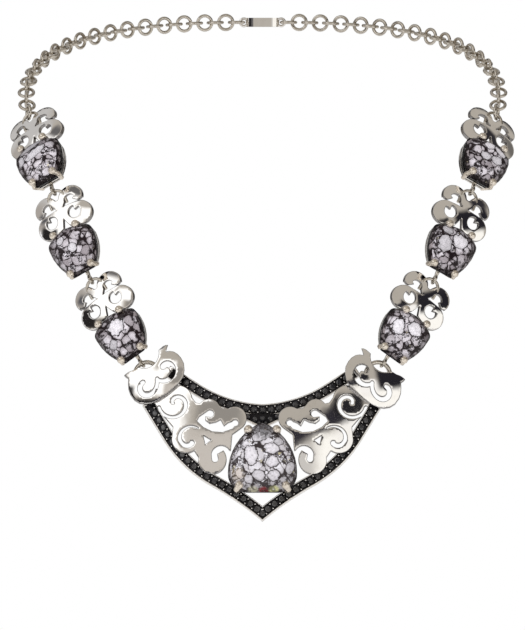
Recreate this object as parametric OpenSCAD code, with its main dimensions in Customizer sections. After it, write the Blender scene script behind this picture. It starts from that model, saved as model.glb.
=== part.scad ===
/* [Necklace] */
// Distance between the two link points of one station
station_pitch = 27.1; // [26.9:0.1:27.5]
// Rise of the back of the neck above the top stations
nape_rise = 25; // [20:1:30]
// Distance from the top stations back to the nape
nape_depth = 59; // [55:1:62]

/* [Centre plaque] */
// Backward lean of the centre plaque, in degrees
plaque_lean = 12; // [8:1:14]
// Radius to which the plaque is bent round the neck
plaque_bend = 95; // [90:1:110]
// Width of the pave band
band_w = 3.0; // [2.9:0.1:3.2]
// Thickness of the pave band
band_t = 1.6; // [1.5:0.1:2]
// Width of the bright rail on each side of the band
rail_w = 0.45; // [0.4:0.05:0.5]
// Thickness of the scroll panels
panel_t = 1.25; // [1.1:0.05:1.4]

/* [Stations] */
// Thickness of a domed scroll plate
plate_t = 1.1; // [1:0.05:1.2]
// Radius of the dome of a scroll plate
plate_dome = 28; // [26:1:34]
// Height of the stone setting on a station
basket_h = 3.9; // [3.7:0.1:4.2]
// Wall of a stone setting
basket_wall = 0.55; // [0.5:0.05:0.6]

/* [Wire and stones] */
// Diameter of the arch wire behind a plate
arch_wire = 0.84; // [0.8:0.02:0.88]
// Diameter of the wire of an eye ring
eye_wire = 0.72; // [0.7:0.02:0.74]
// Diameter of one pave stone
pave_d = 1.65; // [1.5:0.05:1.7]
// Distance between pave stones
pave_pitch = 2.27; // [2.2:0.01:2.5]
// Diameter of the wire of a chain link
link_wire = 0.85; // [0.8:0.01:0.9]
// Number of links on each side of the back chain
link_count = 34; // [32:2:36]

/* [Hidden] */
$fn = 40;
clear = 0.12;

// Lean back and heading out of the vertical of each station, from the plaque up
station_lean = [18.5, 20.5, 37];
station_heading = [31.5, 23.1, 17.8];
station_yaw = [13, 16, 20];

// Curved edges of the plaque: length and turn of each stretch, from the middle
lower_edge = [[16.3, -10], [18.4, 29.4], [11, 0]];
lower_start = 40.7;
upper_edge = [[17.8, 32], [9.2, 0]];
upper_start = 3;
upper_h = 31.2;

// Link point of an end scroll in the plaque's plane, its turn and its depth
hook_x = 31.7;
hook_h = 43;
hook_turn = -35.4;
hook_squeeze = 0.88;
hook_w = -4.45;
hook_yaw = 13;

// Points along an arc: centre, radius, first and last angle
function arc(x, y, r, a0, a1, step = 20) =
    let (n = max(1, ceil(abs(a1 - a0) / step)))
    [for (i = [0 : n]) let (a = a0 + (a1 - a0) * i / n) [x + r * cos(a), y + r * sin(a)]];

// A row of two numbers is a corner, a row of five an arc; inset shrinks the arcs
function path(rows, inset = 0, step = 20) =
    [for (q = rows) each len(q) == 2 ? [q]
        : arc(q[0], q[1], max(q[2] - inset, 0.12), q[3], q[4], step)];

function flip(pts) = [for (i = [len(pts) - 1 : -1 : 0]) [-pts[i][0], pts[i][1]]];
function both(pts) = concat(pts, flip(pts));

// A slot that follows a spiral: centre, radii, first angle, sweep, end widths and swell
function slot(x, y, r0, r1, a0, sweep, w0, w1, growth = 1, swell = 0, step = 20) =
    let (n = ceil(abs(sweep) / step),
        s = sign(sweep),
        rad = function (t) r0 + (r1 - r0) * pow(t, growth),
        wid = function (t) (w0 + (w1 - w0) * t + swell * sin(180 * t)) / 2,
        at = function (t, off, along = 0)
            let (a = a0 + sweep * t, r = rad(t) + off)
            [x + r * cos(a) - s * along * sin(a), y + r * sin(a) + s * along * cos(a)])
    concat([for (i = [0 : n]) at(i / n, wid(i / n))],
        [for (f = [45 : 45 : 135]) at(1, wid(1) * cos(f), wid(1) * sin(f))],
        [for (i = [n : -1 : 0]) at(i / n, -wid(i / n))],
        [for (f = [225 : 45 : 315]) at(0, wid(0) * cos(f), wid(0) * sin(f))]);

// Points and headings along a run of bends, as [x, y, heading]
function walk(p, heading, rows, step = 1.7, k = 0) =
    k == len(rows) ? [[p[0], p[1], heading]] :
    let (n = rows[k][1] == 0 ? 1 : ceil(rows[k][0] / step),
        d = rows[k][0] / n,
        turn = rows[k][1] / n,
        run = bend(p, heading, d, turn, n))
    concat([for (i = [0 : n - 1]) run[i]],
        walk([run[n][0], run[n][1]], run[n][2], rows, step, k + 1));

function bend(p, heading, d, turn, n) =
    n == 0 ? [[p[0], p[1], heading]] :
    concat([[p[0], p[1], heading]],
        bend([p[0] + d * cos(heading + turn / 2), p[1] + d * sin(heading + turn / 2)],
            heading + turn, d, turn, n - 1));

// The same run moved sideways
function beside(run, off) = [for (q = run) [q[0] - off * sin(q[2]), q[1] + off * cos(q[2])]];

// Vector helpers
function unit(v) = v / norm(v);
function frame_at(up, w, p) =
    let (v = unit(cross(up, w)))
    [[v[0], up[0], w[0], p[0]], [v[1], up[1], w[1], p[1]], [v[2], up[2], w[2], p[2]], [0, 0, 0, 1]];

// World positions, from the plaque's lowest tip up each side to the nape
function from_plaque(p) = [p[0],
    tip_y - p[2] * cos(plaque_lean) + p[1] * sin(plaque_lean),
    tip_z + p[1] * cos(plaque_lean) + p[2] * sin(plaque_lean)];
function rise(k) = let (t = station_lean[k], a = station_heading[k])
    [cos(t) * sin(a), sin(t), cos(t) * cos(a)] * station_pitch;
climb = rise(0) + rise(1) + rise(2);
hook_up = [hook_x, hook_h * sin(plaque_lean) - hook_w * cos(plaque_lean),
    hook_h * cos(plaque_lean) + hook_w * sin(plaque_lean)];
tip_y = -nape_depth - climb[1] - hook_up[1];
tip_z = -nape_rise - climb[2] - hook_up[2];
joint = [for (k = [0 : 3]) [hook_x, tip_y + hook_up[1], tip_z + hook_up[2]]
    + (k > 0 ? rise(0) : [0, 0, 0]) + (k > 1 ? rise(1) : [0, 0, 0]) + (k > 2 ? rise(2) : [0, 0, 0])];

// Station k counts from the plaque up; side is 1 on the right and -1 on the left
function sided(p, side) = [side * p[0], p[1], p[2]];
function station_frame(k, side) =
    let (top = sided(joint[k + 1], side),
        up = unit(top - sided(joint[k], side)),
        flat = unit([0, -1, 0] + up * up[1]),
        out = unit(cross(up, flat)),
        w = cos(station_yaw[k]) * flat + side * sin(station_yaw[k]) * out)
    frame_at(up, w, top);

module at_station(k, side) { multmatrix(station_frame(k, side)) children(); }
module at_plaque() { translate([0, tip_y, tip_z]) rotate([90 - plaque_lean, 0, 0]) children(); }
module sides() {
    children();
    mirror([1, 0, 0]) children();
}

// Scroll plate of a station: right half from the top notch round to the lower notch
plate_half = [
    [0, -2.9],
    [3.75, -3.6, 3.35, 165, -28],
    [5.7, -4.35, 1.05, -45, -150],
    [4.15, -4.35],
    [3.35, -4.15, 1.45, 12, 185],
    [1.0, -5.45],
    [4.65, -8.95, 3.4, 95, -115],
    [1.0, -11.2],
    [0, -8.7]];
plate_eye = [[3.45, -8.1, 1.7, 80, 390], [3.7, -7.65]];
plate_mid = -7;
plate_top = 1.6;

module station_plate() {
    color("silver")
    intersection() {
        translate([0, 0, -3])
        linear_extrude(6)
        difference() {
            polygon(both(path(plate_half)));
            polygon(path(plate_eye));
            polygon(flip(path(plate_eye)));
        }
        difference() {
            translate([0, plate_mid, plate_top - plate_dome]) sphere(plate_dome);
            translate([0, plate_mid, plate_top - plate_dome]) sphere(plate_dome - plate_t);
        }
    }
}

// Shield outline of a station's setting, right half from the top
shield_half = [
    [0, -22.2, 10.2, 90, 66],
    [4.9, -15.1, 1.7, 60, 5],
    [-7.5, -16.1, 14.1, 0, -38],
    [2.85, -24.8, 0.65, -35, -88]];
basket_low = -1.2;
rail_gap = 0.9;
post_r = 0.6;

// Prongs of a shield setting: foot x, y, tip x, y
shield_prongs = [[3.5, -12.2, 3.4, -12.75], [3.75, -24.75, 3.15, -24.5]];
shield_grip = 2.05;

// A pierced basket: an outline wall with two open rows of windows along its sides
module basket(outer, inner, low, high, window) {
    difference() {
        translate([0, 0, low])
        linear_extrude(high - low)
        difference() {
            polygon(outer);
            polygon(inner);
        }
        for (w = [low + 0.8, high - 0.5 - rail_gap])
            translate([-20, window[0], w]) cube([40, window[1] - window[0], rail_gap]);
    }
}

// A round post beside the stone with a ball that leans over its edge
module prong(q, side, low, high, tip_r) {
    translate([side * q[0], q[1], low]) cylinder(r = post_r, h = high - low);
    translate([side * q[2], q[3], high]) sphere(tip_r);
}

// Wire arch whose crown is the link point
arch_r = 2.3;
module arch(legs, r = arch_r) {
    translate([0, -r, 0])
    rotate_extrude(angle = 180)
    translate([r, 0]) circle(d = arch_wire);
    for (s = [-1, 1])
        translate([s * r, -r, 0]) rotate([90, 0, 0]) cylinder(d = arch_wire, h = legs);
}

// Ring that hangs on the next arch, soldered to the foot of the setting
eye_in = 0.72;
module eye_ring() {
    drop = -station_pitch + eye_in - arch_wire / 2 - clear;
    translate([0, drop, 0]) rotate([0, 90, 0])
    rotate_extrude() translate([eye_in + eye_wire / 2, 0]) circle(d = eye_wire);
    translate([0, drop + eye_in + eye_wire * 0.6, 0]) rotate([-90, 0, 0])
        cylinder(r = 0.55, h = 1.1);
}

module station_metal() {
    high = basket_low + basket_h;
    color("silver") {
        station_plate();
        basket(both(path(shield_half)), both(path(shield_half, basket_wall)),
            basket_low, high, [-23.2, -15.2]);
        for (q = shield_prongs, s = [-1, 1]) prong(q, s, basket_low, high + shield_grip, 0.95);
        arch(2.2);
        eye_ring();
    }
}

// A cut stone: each row of the cut is [share of the outline, height]
function ring(outline, c, share, w) =
    [for (p = outline) [c[0] + share * (p[0] - c[0]), c[1] + share * (p[1] - c[1]), w]];
module cut_stone(outline, c, cut) {
    n = len(outline);
    m = len(cut);
    polyhedron(
        points = [for (q = cut) each ring(outline, c, q[0], q[1])],
        faces = concat(
            [[for (i = [0 : n - 1]) i]],
            [for (k = [0 : m - 2], i = [0 : n - 1])
                [k * n + i, (k + 1) * n + i, (k + 1) * n + (i + 1) % n, k * n + (i + 1) % n]],
            [[for (i = [n - 1 : -1 : 0]) (m - 1) * n + i]]));
}

// The stone lies over the wall's rim and is cut back at the lower prongs
shield_stone_half = [
    [0, -22.2, 9.9, 90, 66],
    [4.9, -15.1, 1.45, 60, 5],
    [-7.5, -16.1, 13.95, 0, -31],
    [2.3, -24.0, 0.9, -45, -85]];
shield_cut = [[0.3, -0.5], [0.88, 2.72], [1, 2.8], [1, 3.3], [0.8, 4.75], [0.5, 5.65]];
module station_stone() {
    color("lavender")
    cut_stone(flip(both(path(shield_stone_half, 0, 32))), [0, -18.6], shield_cut);
}

// Pave band round the plaque
lower_run = walk([0, 0], lower_start, lower_edge);
upper_run = walk([0, upper_h], upper_start, upper_edge);

// One edge of a band from the middle line outwards; keep shortens its last stretch
function band_edge(run, off, keep = 1) =
    let (p = beside(run, off), n = len(p) - 1)
    concat([[0, p[0][1] - p[0][0] * tan(run[0][2])]],
        [for (i = [0 : n - 1]) if (p[i][0] > 0.1) p[i]],
        [p[n - 1] + (p[n] - p[n - 1]) * keep]);
function band_strip(run, a, b, keep = 1) =
    let (far = band_edge(run, b, keep))
    both(concat(band_edge(run, a, keep), [for (i = [len(far) - 1 : -1 : 0]) far[i]]));

// Triangular widening of the band over the centre stone
module gusset(inset) {
    polygon([[-7.5 + inset, 28.6], [-1.6 + inset / 2, 25.5 + inset], [1.6 - inset / 2, 25.5 + inset],
        [7.5 - inset, 28.6]]);
}

module bent_layer(front, back) {
    difference() {
        intersection() {
            translate([0, 0, -14]) linear_extrude(18) children();
            translate([0, -5, -plaque_bend]) rotate([-90, 0, 0])
                cylinder(r = plaque_bend + front, h = 60, $fn = 160);
        }
        translate([0, -6, -plaque_bend]) rotate([-90, 0, 0])
            cylinder(r = plaque_bend + back, h = 62, $fn = 160);
    }
}

// Band with the centre setting on it; the groove for the stones is cut out of both
groove_d = 1.05;
module pave_band() {
    difference() {
        union() {
            bent_layer(0, -band_t) {
                polygon(band_strip(lower_run, 0, band_w));
                polygon(band_strip(upper_run, 0, -band_w));
                gusset(0);
            }
            centre_basket();
        }
        bent_layer(0.1, -groove_d) {
            polygon(band_strip(lower_run, rail_w, band_w - rail_w, 0.96));
            polygon(band_strip(upper_run, -rail_w, rail_w - band_w, 0.95));
            gusset(rail_w * 1.3);
        }
    }
}

// Scroll panel beside the centre stone, right half, counter-clockwise from the end scroll
panel_edge = [
    [22.5, 32.5, 4.1, 45, 172],
    [17.5, 31.7],
    [14.1, 29.6, 2.95, 38, 152],
    [10.6, 29.9],
    [7.3, 27.2, 3.15, 58, 238],
    [7.9, 22.9],
    [8.3, 18.7],
    [10.9, 17.6, 2.5, 150, 10],
    [12.45, 16.6, 0.8, 0, -180],
    [11.9, 17.9],
    [13.15, 16.4, 3.75, 140, 372],
    [20.0, 22.2, 3.85, 238, 360],
    [23.5, 25.5],
    [24.9, 27.2],
    [27.0, 29.8],
    [29.0, 33.2],
    [28.0, 36.0]];
panel_slots = [
    [22.9, 31.7, 0.65, 4.35, 25, 325, 1.1, 0.8],
    [19.2, 22.2, 1.35, 3.5, 245, 245, 1.5, 0.35]];
panel_window = [
    [7.2, 26.0, 0.85, 30, 280],
    [7.9, 24.5],
    [10.6, 23.6],
    [13.2, 23.9],
    [15.5, 25.1],
    [17.2, 26.8],
    [16.6, 27.9],
    [13.8, 28.6, 1.0, 45, 250],
    [15.0, 27.9],
    [15.0, 26.9],
    [13.9, 26.0],
    [12.2, 26.3],
    [11.0, 26.9],
    [10.1, 25.2],
    [9.1, 26.0]];
panel_gusset = [[13.5, 21.6], [15.5, 22.9], [15.0, 20.5]];

module scroll_panels() {
    bent_layer(panel_t - 0.05, -0.05)
    sides()
    difference() {
        polygon(path(panel_edge));
        for (q = panel_slots) polygon(slot(q[0], q[1], q[2], q[3], q[4], q[5], q[6], q[7], 0.8));
        polygon(path(panel_window));
        polygon(panel_gusset);
    }
}

// End scroll, right half about its own middle line, from the top edge outwards
end_half = [
    [0, 1.4, 4.1, -90, -25],
    [5.6, 0.1],
    [7.4, 0.8],
    [7.3, -1.2],
    [4.2, -5.3, 4.6, 48, -105],
    [0, -9.9]];
end_slot = [2.4, -4.8, 2.05, 3.4, 80, -248, 1.5, 0.5, 3.5, 0.35];
function on_hook(pts) = [for (p = pts)
    [hook_x + hook_squeeze * (p[0] * cos(hook_turn) - p[1] * sin(hook_turn)),
    hook_h + p[0] * sin(hook_turn) + p[1] * cos(hook_turn)]];
end_dome = 26;
end_mid = [30, 37.4];
end_front = -3.0;
end_tilt = 18;

module end_scroll() {
    middle = [end_mid[0] - end_dome * sin(end_tilt), end_mid[1], end_front - end_dome * cos(end_tilt)];
    q = end_slot;
    opening = slot(q[0], q[1], q[2], q[3], q[4], q[5], q[6], q[7], q[8], q[9]);
    intersection() {
        translate([0, 0, -14])
        linear_extrude(18)
        difference() {
            polygon(on_hook(both(path(end_half))));
            polygon(on_hook(opening));
            polygon(on_hook(flip(opening)));
        }
        difference() {
            translate(middle) sphere(end_dome);
            translate(middle) sphere(end_dome - plate_t);
        }
    }
    translate([hook_x, hook_h, hook_w]) rotate([0, 0, -25]) rotate([0, hook_yaw, 0]) arch(1.5, 3.0);
}

// Egg outline of the centre setting, right half from the top
egg_half = [
    [0, 22.67, 3, 90, 61.4],
    [-5.6, 12.4, 14.7, 61.4, 0],
    [4.1, 12.0, 5, -10, -84]];
egg_low = -2.0;
egg_wall = 0.7;
egg_prongs = [[4.0, 23.9, 3.7, 23.5], [6.7, 7.75, 5.9, 8.25]];
egg_high = 2.3;
egg_grip = 2.55;

module centre_basket() {
    basket(both(path(egg_half)), both(path(egg_half, egg_wall)), egg_low, egg_high, [11, 21.5]);
    for (q = egg_prongs, s = [-1, 1]) prong(q, s, egg_low, egg_high + egg_grip, 1.05);
}

module centre_plaque() {
    color("silver")
    at_plaque() {
        pave_band();
        scroll_panels();
        sides() end_scroll();
    }
}

egg_stone_half = [
    [0, 22.67, 2.55, 90, 61.4],
    [-5.6, 12.4, 14.25, 61.4, 0],
    [3.55, 12.05, 4.6, -8, -85]];
egg_cut = [[0.3, -1.4], [0.9, 2.32], [1, 2.4], [1, 2.9], [0.83, 4.6], [0.55, 5.8]];
module centre_stone() {
    color("lavender")
    at_plaque()
    cut_stone(flip(both(path(egg_stone_half, 0, 24))), [0, 14], egg_cut);
}

// One pave stone with an eight-sided crown, its table at height 0
module pave_stone() {
    girdle = [for (i = [0 : 7]) [cos(i * 45) * pave_d / 2, sin(i * 45) * pave_d / 2, -0.28]];
    table = [for (i = [0 : 7]) [cos(i * 45) * pave_d * 0.29, sin(i * 45) * pave_d * 0.29, 0]];
    polyhedron(
        points = concat(table, girdle, [[0, 0, -0.8]]),
        faces = concat([[for (i = [7 : -1 : 0]) i]],
            [for (i = [0 : 7]) [i, (i + 1) % 8, 8 + (i + 1) % 8, 8 + i]],
            [for (i = [0 : 7]) [8 + i, 8 + (i + 1) % 8, 16]]));
}

// Place at a given length along a run
function run_total(run, i = 1, s = 0) = i == len(run) ? s
    : run_total(run, i + 1, s + norm([run[i][0] - run[i - 1][0], run[i][1] - run[i - 1][1]]));
function run_at(run, s, i = 1) =
    let (d = norm([run[i][0] - run[i - 1][0], run[i][1] - run[i - 1][1]]))
    s <= d || i == len(run) - 1 ? run[i - 1] + (run[i] - run[i - 1]) * min(1, s / d)
        : run_at(run, s - d, i + 1);
function mid_run(run, off) = let (p = beside(run, off))
    [for (i = [0 : len(run) - 1]) [p[i][0], p[i][1], run[i][2]]];

pave_sink = 0.15;
upper_pitch = pave_pitch - 0.075;
module pave_at(p) {
    a = asin(p[0] / plaque_bend);
    translate([p[0], p[1], plaque_bend * (cos(a) - 1)]) rotate([0, a, 0])
        translate([0, 0, -pave_sink]) pave_stone();
}

module pave_stones() {
    lower = mid_run(lower_run, band_w / 2);
    upper = mid_run(upper_run, -band_w / 2);
    n_low = floor((run_total(lower) - 2.6) / pave_pitch);
    n_up = floor((run_total(upper) - 1.6) / upper_pitch);
    color("dimgray")
    at_plaque() {
        pave_at([0, band_w / 2 / cos(lower_start) + 0.1]);
        for (s = [-1, 1], i = [0 : n_low - 1])
            let (p = run_at(lower, 3.2 + i * pave_pitch)) pave_at([s * p[0], p[1]]);
        for (i = [0 : n_up], s = i == 0 ? [1] : [-1, 1])
            let (p = run_at(upper, i * upper_pitch)) pave_at([s * p[0], p[1]]);
        pave_at([0, upper_h - band_w / 2 - pave_pitch]);
    }
}

// Back chain: a smooth route from the top station's arch to the clasp
clasp_len = 9;
clasp_w = 4.2;
clasp_t = 2.4;
clasp_eye = 1.0;
clasp_hook = clasp_len / 2 + clasp_eye + 0.03;
function bezier(p, t) = pow(1 - t, 3) * p[0] + 3 * t * pow(1 - t, 2) * p[1]
    + 3 * t * t * (1 - t) * p[2] + pow(t, 3) * p[3];
leave = unit([0.22, 0.72, 0.66]);
route_start = joint[3] - leave * (arch_wire / 2 + clear * 1.2);
route_end = [clasp_hook, 0, 0];
route_ctrl = [route_start, route_start + leave * 30, route_end + [34, 0, 0], route_end];
route_n = 120;
route = [for (i = [0 : route_n]) bezier(route_ctrl, i / route_n)];
function route_sum(i = 0, s = 0) = i > route_n ? []
    : let (d = i == 0 ? 0 : norm(route[i] - route[i - 1]))
    concat([[s + d, i / route_n]], route_sum(i + 1, s + d));
route_table = route_sum();
link_pitch = route_table[route_n][0] / link_count;
link_in = link_pitch + clear;
function route_at(s) = bezier(route_ctrl, lookup(s, route_table));

module chain(side) {
    color("silver")
    for (i = [0 : link_count - 1])
        let (a = sided(route_at(i * link_pitch), side),
            b = sided(route_at((i + 1) * link_pitch), side),
            t = unit(b - a),
            up = unit([0, 0, 1] - t * t[2]),
            axis = i % 2 == 0 ? unit(cross(t, up)) : up)
        multmatrix(frame_at(t, axis, (a + b) / 2))
        rotate_extrude() translate([link_in / 2 + link_wire / 2, 0]) circle(d = link_wire);
}

module clasp() {
    color("silver") {
        translate([0, 0, -clasp_t / 2])
        linear_extrude(clasp_t) {
            square([clasp_len - clasp_w, clasp_w], center = true);
            for (s = [-1, 1]) translate([s * (clasp_len - clasp_w) / 2, 0]) circle(d = clasp_w);
        }
        for (s = [-1, 1])
            translate([s * (clasp_len / 2 + clasp_eye * 0.45), 0, 0]) rotate([90, 0, 0])
            rotate_extrude() translate([clasp_eye, 0]) circle(d = eye_wire);
    }
}

centre_plaque();
centre_stone();
pave_stones();
at_station(2, 1) station_metal();  // station_r1
at_station(1, 1) station_metal();  // station_r2
at_station(0, 1) station_metal();  // station_r3
at_station(2, -1) station_metal();  // station_l1
at_station(1, -1) station_metal();  // station_l2
at_station(0, -1) station_metal();  // station_l3
at_station(2, 1) station_stone();  // stone_r1
at_station(1, 1) station_stone();  // stone_r2
at_station(0, 1) station_stone();  // stone_r3
at_station(2, -1) station_stone();  // stone_l1
at_station(1, -1) station_stone();  // stone_l2
at_station(0, -1) station_stone();  // stone_l3
chain(1);  // chain_right
chain(-1);  // chain_left
clasp();
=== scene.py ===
# Crystal necklace: scrollwork links, a pierced centre plaque, cut crystals and a pave band
import math
import bpy
import bmesh
import numpy as np
from mathutils import Matrix, Vector
from mathutils.geometry import delaunay_2d_cdt


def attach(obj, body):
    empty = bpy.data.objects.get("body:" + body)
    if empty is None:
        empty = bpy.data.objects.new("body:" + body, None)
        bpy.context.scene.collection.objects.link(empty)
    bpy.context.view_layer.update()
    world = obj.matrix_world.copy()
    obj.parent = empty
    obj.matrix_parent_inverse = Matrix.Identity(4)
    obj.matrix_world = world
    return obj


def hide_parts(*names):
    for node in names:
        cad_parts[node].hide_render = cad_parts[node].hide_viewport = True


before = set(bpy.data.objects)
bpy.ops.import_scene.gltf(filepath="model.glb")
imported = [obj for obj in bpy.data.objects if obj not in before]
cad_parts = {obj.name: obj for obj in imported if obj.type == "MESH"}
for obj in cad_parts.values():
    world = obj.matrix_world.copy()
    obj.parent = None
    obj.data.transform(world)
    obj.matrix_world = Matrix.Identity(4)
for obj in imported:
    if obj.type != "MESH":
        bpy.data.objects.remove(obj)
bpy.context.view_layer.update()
print("frame loaded with", len(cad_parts), "nodes")

mm = 0.001  # sizes here are in millimetres, as the necklace was measured; meshes are in metres

necklace = {
    "stationPitch": 27.1,  # between the link points of one station
    "napeRise": 25.0,  # the nape over the top links
    "napeDepth": 59.0,  # the top links in front of the nape
    "plaqueLean": 12.0,
    "plaqueBend": 95.0,  # radius round the neck
    "hook": (31.7, 43.0, -4.45),  # link point of an end scroll on the plaque
    "lean": (18.5, 20.5, 37.0),  # of each station, from the plaque up
    "heading": (31.5, 23.1, 17.8),
    "yaw": (13.0, 16.0, 20.0),
}


def sinOf(a):
    return math.sin(math.radians(a))


def cosOf(a):
    return math.cos(math.radians(a))


def unit(v):
    v = np.asarray(v, float)
    return v / np.linalg.norm(v)


def placed(points, place):
    return np.asarray(points, float) @ place[:3, :3].T + place[:3, 3]


# Where the parts sit

def rise(k):
    t, a = necklace["lean"][k], necklace["heading"][k]
    return np.array([cosOf(t) * sinOf(a), sinOf(t), cosOf(t) * cosOf(a)]) * necklace["stationPitch"]


lean = necklace["plaqueLean"]
bend = necklace["plaqueBend"]
hookX, hookH, hookW = necklace["hook"]
climb = rise(0) + rise(1) + rise(2)
hookUp = np.array([
    hookX,
    hookH * sinOf(lean) - hookW * cosOf(lean),
    hookH * cosOf(lean) + hookW * sinOf(lean)])
tip = np.array([
    0,
    -necklace["napeDepth"] - climb[1] - hookUp[1],
    -necklace["napeRise"] - climb[2] - hookUp[2]])
linkPoints = [tip + hookUp]
for k in range(3):
    linkPoints.append(linkPoints[-1] + rise(k))


def stationFrame(k, side):
    top = linkPoints[k + 1] * [side, 1, 1]
    low = linkPoints[k] * [side, 1, 1]
    up = unit(top - low)
    flat = unit(np.array([0, -1, 0]) + up * up[1])
    out = unit(np.cross(up, flat))
    yaw = necklace["yaw"][k]
    facing = cosOf(yaw) * flat + side * sinOf(yaw) * out
    place = np.eye(4)
    place[:3, 0] = unit(np.cross(up, facing))
    place[:3, 1] = up
    place[:3, 2] = facing
    place[:3, 3] = top
    return place


def turnAbout(axis, angle):
    i, j = ((1, 2), (2, 0), (0, 1))[axis]
    m = np.eye(4)
    m[i, i] = m[j, j] = cosOf(angle)
    m[i, j] = -sinOf(angle)
    m[j, i] = sinOf(angle)
    return m


plaqueFrame = np.eye(4)
plaqueFrame[:3, 1] = [0, sinOf(lean), cosOf(lean)]
plaqueFrame[:3, 2] = [0, -cosOf(lean), sinOf(lean)]
plaqueFrame[:3, 3] = tip


# Flat outlines

def arcPoints(x, y, r, a0, a1, step=8):
    n = max(1, math.ceil(abs(a1 - a0) / step))
    angles = [a0 + (a1 - a0) * i / n for i in range(n + 1)]
    return [(x + r * cosOf(a), y + r * sinOf(a)) for a in angles]


def outline(rows):
    points = []
    for row in rows:  # two numbers are a corner, five an arc
        points += [tuple(row)] if len(row) == 2 else arcPoints(*row)
    return points


def flipped(points):
    return [(-x, y) for x, y in reversed(points)]


def closedLoop(points, least=0.01):
    kept = []
    for p in points:
        if not kept or math.dist(kept[-1], p) > least:
            kept.append(p)
    if math.dist(kept[0], kept[-1]) < least:
        kept.pop()
    return np.array(kept, float)


def bothSides(points):
    return closedLoop(list(points) + flipped(points))


# A slot that winds round a point, with round ends; its radius and width go from one value to another
def spiralSlot(x, y, r0, r1, a0, sweep, w0, w1, growth, swell=0.0):
    n = math.ceil(abs(sweep) / 8)
    s = 1 if sweep > 0 else -1

    def at(t, off, along=0.0):
        a = a0 + sweep * t
        r = r0 + (r1 - r0) * t ** growth + off
        return (x + r * cosOf(a) - s * along * sinOf(a), y + r * sinOf(a) + s * along * cosOf(a))

    def halfWidth(t):
        return (w0 + (w1 - w0) * t + swell * sinOf(180 * t)) / 2

    points = [at(i / n, halfWidth(i / n)) for i in range(n + 1)]
    points += [at(1, halfWidth(1) * cosOf(f), halfWidth(1) * sinOf(f)) for f in range(30, 180, 30)]
    points += [at(i / n, -halfWidth(i / n)) for i in range(n, -1, -1)]
    points += [at(0, halfWidth(0) * cosOf(f), halfWidth(0) * sinOf(f)) for f in range(210, 360, 30)]
    return closedLoop(points)


# A run is a line of points with the direction at each; its rows are lengths and turns
def runAlong(start, heading, rows, step=0.6):
    run = [(start[0], start[1], heading)]
    for length, turn in rows:
        n = math.ceil(length / step)
        for _ in range(n):
            x, y, h = run[-1]
            mid = h + turn / n / 2
            run.append((x + length / n * cosOf(mid), y + length / n * sinOf(mid), h + turn / n))
    return run


def shiftedRun(run, off):
    return [(x - off * sinOf(h), y + off * cosOf(h), h) for x, y, h in run]


def beside(run, off, keep):
    line = [(x, y) for x, y, h in shiftedRun(run, off)]
    first = (0.0, line[0][1] - line[0][0] * math.tan(math.radians(run[0][2])))
    line = [first] + [p for p in line if p[0] > 0.1]
    return line[:max(2, round(len(line) * keep))]


def bandStrip(run, a, b, keep=1.0):
    return bothSides(beside(run, a, keep) + list(reversed(beside(run, b, keep))))


def runLength(run):
    return sum(math.dist(a[:2], b[:2]) for a, b in zip(run, run[1:]))


def pointAt(run, s):
    for a, b in zip(run, run[1:]):
        d = math.dist(a[:2], b[:2])
        if s <= d:
            return [a[i] + (b[i] - a[i]) * s / d for i in range(3)]
        s -= d
    return list(run[-1])


def evenly(loop, spacing):
    points = []
    for a, b in zip(loop, np.roll(loop, -1, 0)):
        n = max(1, math.ceil(np.linalg.norm(b - a) / spacing))
        points += [a + (b - a) * i / n for i in range(n)]
    return np.array(points)


def isInside(points, loop):
    x, y = points[:, 0][:, None], points[:, 1][:, None]
    a, b = loop, np.roll(loop, -1, 0)
    crosses = (a[:, 1] > y) != (b[:, 1] > y)
    with np.errstate(divide="ignore", invalid="ignore"):
        at = a[:, 0] + (y - a[:, 1]) / (b[:, 1] - a[:, 1]) * (b[:, 0] - a[:, 0])
    return (np.sum(crosses & (x < at), axis=1) % 2) == 1


def insideAll(points, loops):
    inside = np.zeros(len(points), bool)
    for loop in loops:
        inside ^= isInside(points, loop)
    return inside


def edgeDistance(points, loops, batch=1500):
    a = np.concatenate(loops)
    d = np.concatenate([np.roll(l, -1, 0) - l for l in loops])
    best = np.empty(len(points))
    for i in range(0, len(points), batch):
        p = points[i:i + batch][:, None, :] - a[None]
        t = np.clip((p * d).sum(2) / np.maximum((d * d).sum(1), 1e-12), 0, 1)
        best[i:i + batch] = np.sqrt(((p - t[..., None] * d) ** 2).sum(2)).min(1)
    return best


def triangulate(points, loopSizes):
    edges, start = [], 0
    for n in loopSizes:
        edges += [(start + i, start + (i + 1) % n) for i in range(n)]
        start += n
    made = delaunay_2d_cdt([Vector(p) for p in points.tolist()], edges, [], 0, 1e-5)
    return np.array([tuple(v) for v in made[0]]), np.array([f for f in made[2] if len(f) == 3], int)


# Outlines of everything inside any of one list of loops and outside all of another
def joinedLoops(include, exclude=()):
    loops = [evenly(l, 0.5) for l in [*include, *exclude]]
    points, faces = triangulate(np.concatenate(loops), [len(l) for l in loops])
    mid = points[faces].mean(1)
    keep = np.zeros(len(faces), bool)
    for l in include:
        keep |= isInside(mid, l)
    for l in exclude:
        keep &= ~isInside(mid, l)
    sides = {(f[i], f[(i + 1) % 3]): True for f in faces[keep] for i in range(3)}
    nextPoint = {}
    for a, b in sides:
        if (b, a) not in sides:
            nextPoint.setdefault(a, []).append(b)
    made = []
    while nextPoint:
        first = next(iter(nextPoint))
        loop, at = [], first
        while at in nextPoint:
            loop.append(at)
            following = nextPoint[at].pop()
            if not nextPoint[at]:
                del nextPoint[at]
            at = following
            if at == first:
                break
        if len(loop) > 5:
            made.append(closedLoop([tuple(points[i]) for i in loop]))
    return made


# Meshes

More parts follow.
